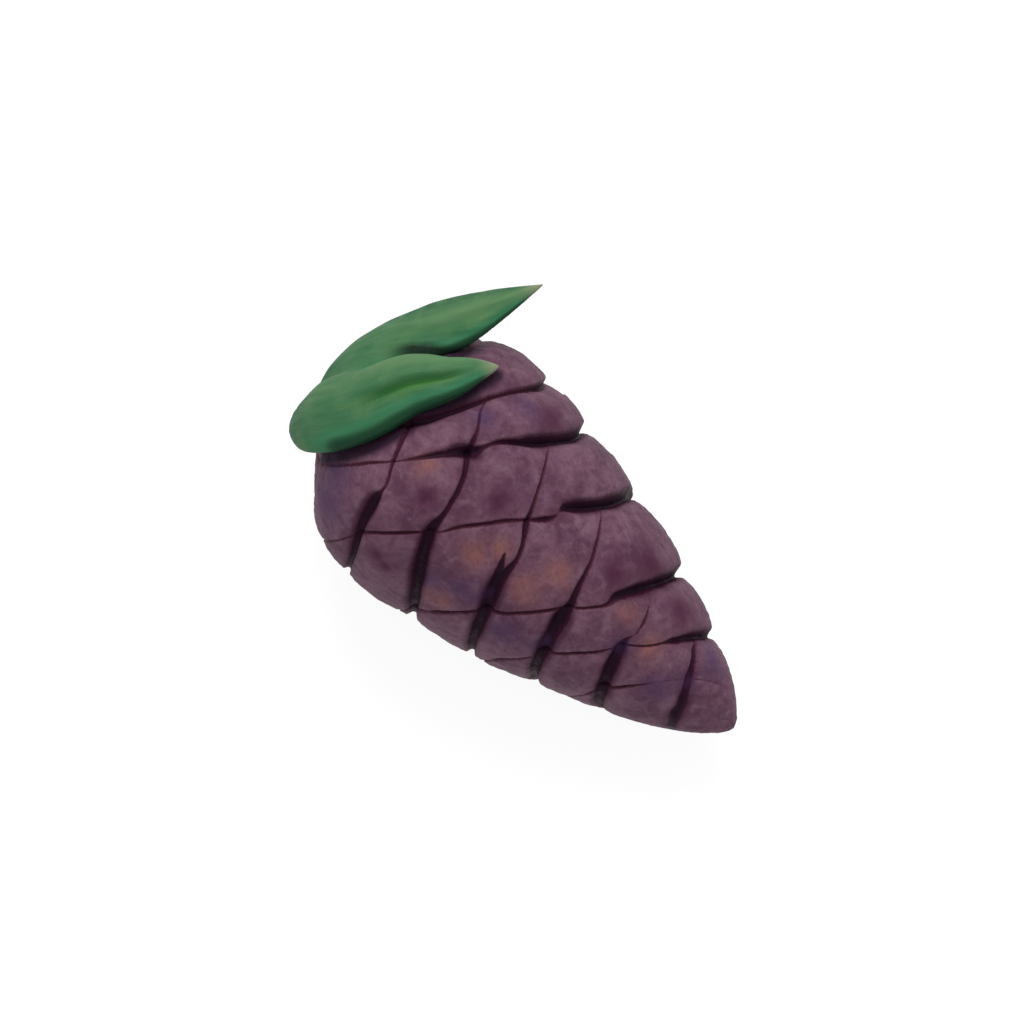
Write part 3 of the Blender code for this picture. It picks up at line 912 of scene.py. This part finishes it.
def facts_of_nearest(mesh, pieces):
    """What the nearest piece knows at each point, how near the seam is, and the painted shade in
    the gap.
    """
    trees = [surface_tree(piece) for piece in pieces]
    known = [{name: values_of(piece.data, name) for name in LEAF_FACTS} for piece in pieces]
    facts = {name: np.zeros(len(mesh.vertices), np.float32) for name in LEAF_FACTS}
    seam = np.zeros(len(mesh.vertices))
    gap = np.zeros(len(mesh.vertices), np.float32)
    for number, vertex in enumerate(mesh.vertices):
        found = [tree.find_nearest(vertex.co) for tree in trees]
        near = min(range(len(pieces)), key=lambda i: found[i][3])
        corners = pieces[near].data.polygons[found[near][2]].vertices
        for name in LEAF_FACTS:
            facts[name][number] = np.mean([known[near][name][corner] for corner in corners])
        apart = max(one[3] for one in found)
        seam[number] = math.exp(-(apart / JOIN_REACH) ** 2)
        # Painted shade: under the lower leaf's edge above, or in the narrow gap
        if near == 1:
            gap[number] = hidden_beside(trees[0], vertex.co)
        else:
            gap[number] = math.exp(-(apart / GAP_REACH) ** 2)
    return facts, seam, gap


def past_the_join(mesh):
    """How far each point lies to the right of the join's end in the picture."""
    places = np.array([vertex.co for vertex in mesh.vertices])
    right = (math.cos(PICTURE_TURN), math.sin(PICTURE_TURN))
    end_x, end_y = JOIN_ENDS_AT
    return (places[:, 0] - end_x) * right[0] + (places[:, 1] - end_y) * right[1]


def pressed_together(name, pieces):
    """One clay surface round several pieces, smeared smooth where they meet at their roots."""
    whole = one_surface(name, pieces)
    joined = whole.data
    facts, seam, gap = facts_of_nearest(joined, pieces)
    past = past_the_join(joined)
    soften_where(joined, seam * (1.0 - smooth_step(past, *JOIN_ENDS_OVER)), JOIN_ROUNDS)
    soften_where(joined, np.full(len(joined.vertices), LAST_SMOOTHING), LAST_ROUNDS)
    # Painted shade in the gap, from past the join's end
    facts["gap"] = gap * smooth_step(past, *GAP_STARTS)
    for name_of_fact, values in facts.items():
        store(joined, name_of_fact, values)
    joined.shade_smooth()
    for piece in pieces:
        bpy.data.objects.remove(piece, do_unlink=True)
    return whole


def add(tree, kind, **settings):
    """A shader node with its own settings and, by name or number, its sockets' values."""
    node = tree.nodes.new(kind)
    for name, value in settings.get("set", {}).items():
        setattr(node, name, value)
    for name, value in settings.get("values", {}).items():
        node.inputs[name].default_value = value
    for name, source in settings.get("links", {}).items():
        tree.links.new(source, node.inputs[name])
    return node


def colour(red, green, blue):
    """A colour as a screen shows it, 0 to 255, turned into light."""
    def light(value):
        value = value / 255.0
        return value / 12.92 if value <= 0.04045 else ((value + 0.055) / 1.055) ** 2.4
    return (light(red), light(green), light(blue), 1.0)


def fact(tree, name):
    """A number stored at each point of the mesh."""
    return add(tree, "ShaderNodeAttribute", set={"attribute_name": name}).outputs["Fac"]


def place_in_clay(tree, stretch=(1.0, 1.0, 1.0)):
    """Coordinates that stay with the clay, in millimetres."""
    source = add(tree, "ShaderNodeTexCoord").outputs["Object"]
    scale = Vector(stretch) * 1000.0
    moved = add(tree, "ShaderNodeMapping", values={"Scale": scale}, links={"Vector": source})
    return moved.outputs["Vector"]


def noise(tree, place, scale, detail=3.0, twist=0.0):
    """Random clouds between 0 and 1."""
    values = {"Scale": scale, "Detail": detail, "Distortion": twist}
    node = add(tree, "ShaderNodeTexNoise", values=values, links={"Vector": place})
    return node.outputs["Fac"]


def spread(tree, source, low, high, to_low=0.0, to_high=1.0):
    """A value stretched smoothly from one range to another."""
    values = {"From Min": low, "From Max": high, "To Min": to_low, "To Max": to_high}
    settings = {"interpolation_type": "SMOOTHSTEP"}
    node = add(tree, "ShaderNodeMapRange", set=settings, values=values, links={"Value": source})
    return node.outputs["Result"]


def sum_up(tree, operation, first, second):
    """Two numbers put together."""
    node = add(tree, "ShaderNodeMath", set={"operation": operation})
    for socket, value in zip(node.inputs, (first, second)):
        if isinstance(value, (int, float)):
            socket.default_value = value
        else:
            tree.links.new(value, socket)
    return node.outputs["Value"]


def blend(tree, share, first, second, how="MIX"):
    """Two colours mixed by a share."""
    node = add(tree, "ShaderNodeMix", set={"data_type": "RGBA", "blend_type": how})
    sockets = (node.inputs[0], node.inputs[6], node.inputs[7])
    for socket, value in zip(sockets, (share, first, second)):
        if isinstance(value, (int, float, tuple)):
            socket.default_value = value
        else:
            tree.links.new(value, socket)
    return node.outputs[2]


def tint(tree, tone, share, target):
    """A colour moved towards another one by a share."""
    return blend(tree, share, tone, colour(*target))


def bare_material(name, roughness):
    """A material with its shader, and the clay's constant finish on it."""
    material = bpy.data.materials.new(name)
    material.use_nodes = True
    tree = material.node_tree
    shader = tree.nodes["Principled BSDF"]
    shader.inputs["Roughness"].default_value = roughness
    shader.inputs["Specular IOR Level"].default_value = CLAY_GLOSS
    return material, tree, shader


def rough_up(tree, shader, source, strength):
    """Fine bumps, too small to be part of the mesh."""
    values = {"Strength": strength, "Distance": BUMP_HEIGHT}
    node = add(tree, "ShaderNodeBump", values=values, links={"Height": source})
    tree.links.new(node.outputs["Normal"], shader.inputs["Normal"])


def marbled(tree, place):
    """The colour of kneaded clay: soft clouds, marbling and blotches; the marbling comes too."""
    clouds = noise(tree, place, 0.22, 4.0, 0.6)
    marble = noise(tree, place, 0.60, 3.0, 0.7)
    blotches = noise(tree, place, 1.1, 2.0, 0.3)
    tone = blend(tree, spread(tree, clouds, 0.3, 0.7), colour(*CLAY_DEEP), colour(*CLAY_MIDDLE))
    tone = tint(tree, tone, spread(tree, marble, 0.45, 0.75, to_high=0.6), MARBLE_PALE)
    tone = tint(tree, tone, spread(tree, marble, 0.5, 0.25, to_high=0.6), MARBLE_DARK)
    tone = tint(tree, tone, spread(tree, blotches, 0.55, 0.8, to_high=0.35), BLOTCH_PALE)
    tone = tint(tree, tone, spread(tree, blotches, 0.45, 0.2, to_high=0.35), BLOTCH_DARK)
    return tone, marble


def stained(tree, place, tone):
    """The clay's colour with its warm, violet and magenta stains and dark speckles."""
    broken = spread(tree, noise(tree, place, 0.35, 2.0, 0.4), 0.25, 0.6, 0.35, 0.9)
    warm = sum_up(tree, "MULTIPLY", fact(tree, "warm"), broken)
    violet = sum_up(tree, "MULTIPLY", fact(tree, "violet"), 0.8)
    # Magenta: stains, and partly painted shade in the soft dents
    magenta = sum_up(tree, "MULTIPLY", fact(tree, "magenta"), 0.9)
    tone = tint(tree, tone, warm, WARM_CLAY)
    tone = tint(tree, tone, violet, VIOLET_CLAY)
    tone = tint(tree, tone, magenta, MAGENTA_CLAY)
    speckle = noise(tree, place, 2.6, 3.0)
    return tint(tree, tone, spread(tree, speckle, 0.55, 0.3, to_high=0.25), SPECKLE_DARK)


def slit_inside_shade(tree):
    """Painted shade inside the cuts: dark red where narrow, nearly black deep down."""
    slit = fact(tree, "slit")
    wide = spread(tree, fact(tree, "slit_size"), 0.12, 0.3)
    tone = blend(tree, wide, colour(*NARROW_SLIT_SHADE), colour(*WIDE_SLIT_SHADE))
    tone = tint(tree, tone, spread(tree, slit, 0.12, 0.5), SLIT_BOTTOM_SHADE)
    return tint(tree, tone, spread(tree, fact(tree, "violet"), 0.3, 0.9), VIOLET_SLIT_SHADE)


def cone_material():
    """Purple-brown clay, marbled by kneading, stained in places, painted nearly black as shade in
    the cuts and darker beside them and the leaves.
    """
    material, tree, shader = bare_material("cone_clay_worked", sum(CONE_ROUGHNESS) / 2.0)
    place = place_in_clay(tree)
    tone, marble = marbled(tree, place)
    tone = stained(tree, place, tone)
    # Painted shade beside the slits
    slit_shade = spread(tree, fact(tree, "slit_shade"), 0.05, 0.7, to_high=0.7)
    # Painted shade along the leaves' lower edges
    leaf_shade = spread(tree, fact(tree, "leaf_shade"), 0.05, 0.85, to_high=0.9)
    tone = tint(tree, tone, slit_shade, PAINTED_SLIT_SHADE)
    tone = tint(tree, tone, leaf_shade, PAINTED_LEAF_SHADE)
    # Inside the slits the colour gives way to painted shade
    ragged = spread(tree, noise(tree, place, 3.2, 2.0), 0.2, 0.8, -0.05, 0.05)
    inside = sum_up(tree, "ADD", fact(tree, "slit"), ragged)
    tone = blend(tree, spread(tree, inside, -0.12, 0.08), tone, slit_inside_shade(tree))
    tree.links.new(tone, shader.inputs["Base Color"])
    rough_up(tree, shader, noise(tree, place, FINE_BUMPS, 4.0), CONE_BUMP)
    uneven_gloss = spread(tree, marble, 0.3, 0.7, *CONE_ROUGHNESS)
    tree.links.new(uneven_gloss, shader.inputs["Roughness"])
    return material


def streaks_along(tree):
    """Random streaks along a leaf, where the clay was rolled and drawn out."""
    drawn = add(tree, "ShaderNodeCombineXYZ")
    tree.links.new(sum_up(tree, "MULTIPLY", fact(tree, "lengthwise"), 0.18), drawn.inputs["X"])
    tree.links.new(fact(tree, "across"), drawn.inputs["Y"])
    tree.links.new(fact(tree, "on_top"), drawn.inputs["Z"])
    return noise(tree, drawn.outputs["Vector"], 0.9, 4.0, 0.6)


def leaf_material():
    """Streaky green clay: painted shade on the flank, in the crease and in the gap, a painted
    highlight along the lit band and a pale point.
    """
    material, tree, shader = bare_material("leaf_clay_worked", LEAF_ROUGHNESS)
    streaks = streaks_along(tree)
    place = place_in_clay(tree)
    clouds = noise(tree, place, 0.3, 4.0, 0.5)
    towards_tip = fact(tree, "towards_tip")
    flank = fact(tree, "flank")
    mottles = spread(tree, noise(tree, place, 0.8), 0.3, 0.7)
    mottled_rim = sum_up(tree, "MULTIPLY", fact(tree, "rim"), mottles)
    tone = blend(tree, spread(tree, clouds, 0.3, 0.7), colour(*LEAF_DEEP), colour(*LEAF_MIDDLE))
    tone = tint(tree, tone, spread(tree, streaks, 0.5, 0.8, to_high=0.5), STREAK_PALE)
    tone = tint(tree, tone, spread(tree, streaks, 0.45, 0.2, to_high=0.5), STREAK_DARK)
    tone = tint(tree, tone, spread(tree, towards_tip, 0.22, 0.04, to_high=0.8), LEAF_ROOT)
    # Painted shade on the lower flank
    tone = tint(tree, tone, spread(tree, flank, 0.0, 0.5, to_high=0.8), FLANK_SHADE_TEAL)
    tone = tint(tree, tone, spread(tree, flank, 0.65, 1.0, to_high=0.85), FLANK_SHADE_DARK)
    tone = tint(tree, tone, sum_up(tree, "MULTIPLY", mottled_rim, 0.85), RIM_MOTTLE)
    # Painted highlight along the lit band
    tone = tint(tree, tone, sum_up(tree, "MULTIPLY", fact(tree, "ridge"), 0.6), LIT_BAND)
    # Painted shade in the crease
    tone = tint(tree, tone, fact(tree, "crease"), CREASE_SHADE_GREEN)
    tone = tint(tree, tone, sum_up(tree, "MULTIPLY", fact(tree, "fresh"), 0.6), FRESH_GREEN)
    # Painted shade in the gap between the leaves
    tone = tint(tree, tone, sum_up(tree, "MULTIPLY", fact(tree, "gap"), 0.95), PAINTED_GAP_SHADE)
    tone = tint(tree, tone, spread(tree, towards_tip, 0.88, 0.98, to_high=0.8), LEAF_POINT)
    tree.links.new(tone, shader.inputs["Base Color"])
    grain = noise(tree, place, FINE_BUMPS, 4.0)
    rough_up(tree, shader, sum_up(tree, "ADD", grain, streaks), LEAF_BUMP)
    return material


def mark_leaf_shade(mesh, cover):
    """Store how much painted shade each point of the clay gets from the lower edge of a leaf near
    it.
    """
    tree = surface_tree(cover)
    aside = Vector((-math.sin(PICTURE_TURN), math.cos(PICTURE_TURN), 0.0)) * SHADE_SHIFT
    shade = np.zeros(len(mesh.vertices), np.float32)
    for number, vertex in enumerate(mesh.vertices):
        distance = tree.find_nearest(vertex.co + aside, 3.0 * SHADE_REACH)[3]
        if distance is not None:
            shade[number] = math.exp(-(distance / SHADE_REACH) ** 2)
    store(mesh, "leaf_shade", shade)


def cone(cover):
    """The scored body, under its leaves."""
    piece = shaped_sphere("scored_cone", BODY_AROUND, BODY_ALONG, body_surface, "cone_body")
    with_fewer_faces(piece, BODY_TRIANGLES)
    mark_leaf_shade(piece.data, cover)
    piece.data.materials.clear()
    piece.data.materials.append(cone_material())
    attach(piece, "root")
    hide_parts("cone_body")


def leaf(name, node, *form):
    """One green leaf."""
    return shaped_sphere(
        name,
        LEAF_AROUND,
        LEAF_ALONG,
        lambda share, turn: leaf_surface(*form, share, turn),
        node,
    )


def leaves():
    """Both leaves, pressed together at their roots."""
    lower = leaf("lower_leaf", "leaf_lower", LOWER_SPINE, LOWER_FACING, LOWER_HALF_WIDTH,
                 LOWER_TIP_SHARPNESS, LOWER_HOLD, LOWER_JOIN, LOWER_FOLD)
    upper = leaf("upper_leaf", "leaf_upper", UPPER_SPINE, UPPER_FACING, UPPER_HALF_WIDTH,
                 UPPER_TIP_SHARPNESS, UPPER_HOLD, UPPER_JOIN, UPPER_FOLD)
    piece = pressed_together("pressed_leaves", (lower, upper))
    piece.data.materials.clear()
    piece.data.materials.append(leaf_material())
    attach(piece, "root")
    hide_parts("leaf_lower", "leaf_upper")
    return piece


def floor():
    """A plain white table."""
    size = TABLE_HALF_SIZE
    mesh = bpy.data.meshes.new("table")
    corners = [(-size, -size, 0.0), (size, -size, 0.0), (size, size, 0.0), (-size, size, 0.0)]
    mesh.from_pydata(corners, [], [(0, 1, 2, 3)])
    table = bpy.data.objects.new("table", mesh)
    table.location.z = -TABLE_DROP
    material = bpy.data.materials.new("white_table")
    material.use_nodes = True
    shader = material.node_tree.nodes["Principled BSDF"]
    shader.inputs["Base Color"].default_value = TABLE_GREY
    shader.inputs["Roughness"].default_value = TABLE_ROUGHNESS
    shader.inputs["Specular IOR Level"].default_value = TABLE_GLOSS
    shader.inputs["Emission Color"].default_value = WHITE
    shader.inputs["Emission Strength"].default_value = TABLE_GLOW
    mesh.materials.append(material)
    bpy.context.scene.collection.objects.link(table)


def light():
    """A pale sky and one large soft lamp from the top of the picture."""
    world = bpy.data.worlds.new("pale_sky")
    world.use_nodes = True
    background = world.node_tree.nodes["Background"]
    background.inputs["Color"].default_value = WHITE
    background.inputs["Strength"].default_value = SKY_STRENGTH
    bpy.context.scene.world = world
    lamp = bpy.data.lights.new("soft_key", "AREA")
    lamp.shape = "DISK"
    lamp.size = KEY_SIZE
    lamp.energy = KEY_POWER
    holder = bpy.data.objects.new("soft_key", lamp)
    holder.location = KEY_PLACE
    holder.rotation_euler = Vector(KEY_PLACE).to_track_quat("Z", "Y").to_euler()
    bpy.context.scene.collection.objects.link(holder)


def camera():
    """A long lens straight above the cone."""
    data = bpy.data.cameras.new("camera")
    data.sensor_width = SENSOR_WIDTH
    distance = CAMERA_HEIGHT - MIDDLE_HEIGHT
    data.lens = SENSOR_WIDTH * distance / PICTURE_WIDTH
    holder = bpy.data.objects.new("camera", data)
    place = Matrix.Translation((CAMERA_OVER[0], CAMERA_OVER[1], CAMERA_HEIGHT))
    holder.matrix_world = place @ Matrix.Rotation(PICTURE_TURN, 4, "Z")
    bpy.context.scene.collection.objects.link(holder)
    bpy.context.scene.camera = holder


bpy.context.scene.view_settings.view_transform = "Standard"
camera()
light()
floor()
cone(leaves())
